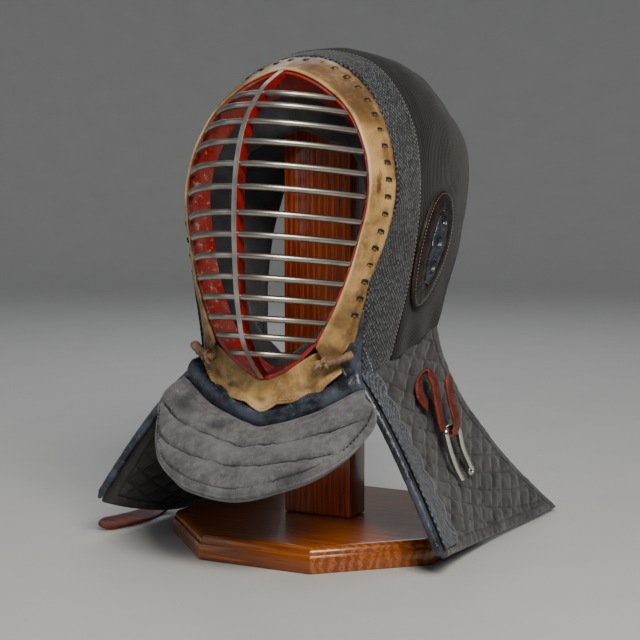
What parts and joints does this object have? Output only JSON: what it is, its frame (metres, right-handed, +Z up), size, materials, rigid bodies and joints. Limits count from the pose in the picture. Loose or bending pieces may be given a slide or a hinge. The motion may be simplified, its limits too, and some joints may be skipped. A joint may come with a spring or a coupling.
{
  "type": "kendo mask on wooden stand",
  "caption": "Fencing mask with a curved wire grille in a rawhide rim, quilted hood, throat flap and side flaps, worn over the head, shown on an octagonal wooden stand.",
  "frame": {"origin": "centre of the underside of the stand's base", "axes": "+Z up, the face looks along -Y, +X to the viewer's right when facing the mask"},
  "size_m": [0.309, 0.3321, 0.3823],
  "materials": {
    "stained_oak": "stained and varnished oak",
    "grille_steel": "satin, inner faces red lacquer",
    "rawhide": "golden rawhide, worn",
    "navy_leather": "dark navy leather with a sheen",
    "lacquered_leather": "brown lacquered leather",
    "strap_leather": "reddish brown leather",
    "lace_hide": "greyish tan rawhide lace",
    "grey_cotton": "faded felted cotton",
    "woven_cloth": "dark woven cloth with pale flecks",
    "quilted_cloth": "charcoal quilted cotton",
    "lining_cloth": "dark lining cotton",
    "hook_steel": "polished wire"
  },
  "bodies": {
    "root": {"stand_base": "stained_oak", "stand_post": "stained_oak", "face_grille": "grille_steel", "face_rim": "rawhide", "chin_rawhide": "rawhide", "chin_roll": "navy_leather", "throat_flap": "grey_cotton", "woven_front_band": "woven_cloth", "hood": "quilted_cloth", "face_cushion": "lining_cloth", "side_flap_right": "quilted_cloth", "side_flap_left": "quilted_cloth", "flap_piping_right": "navy_leather", "flap_piping_left": "navy_leather", "edge_band_right": "woven_cloth", "edge_band_left": "woven_cloth", "cheek_gusset_right": "navy_leather", "cheek_gusset_left": "navy_leather", "ear_leather_right": "lacquered_leather", "ear_leather_left": "lacquered_leather", "ear_inner_right": "navy_leather", "ear_inner_left": "navy_leather", "lace_right": "lace_hide", "lace_left": "lace_hide", "strap_right": "strap_leather", "strap_left": "strap_leather", "strap_hook": "hook_steel"}
  },
  "joints": []
}
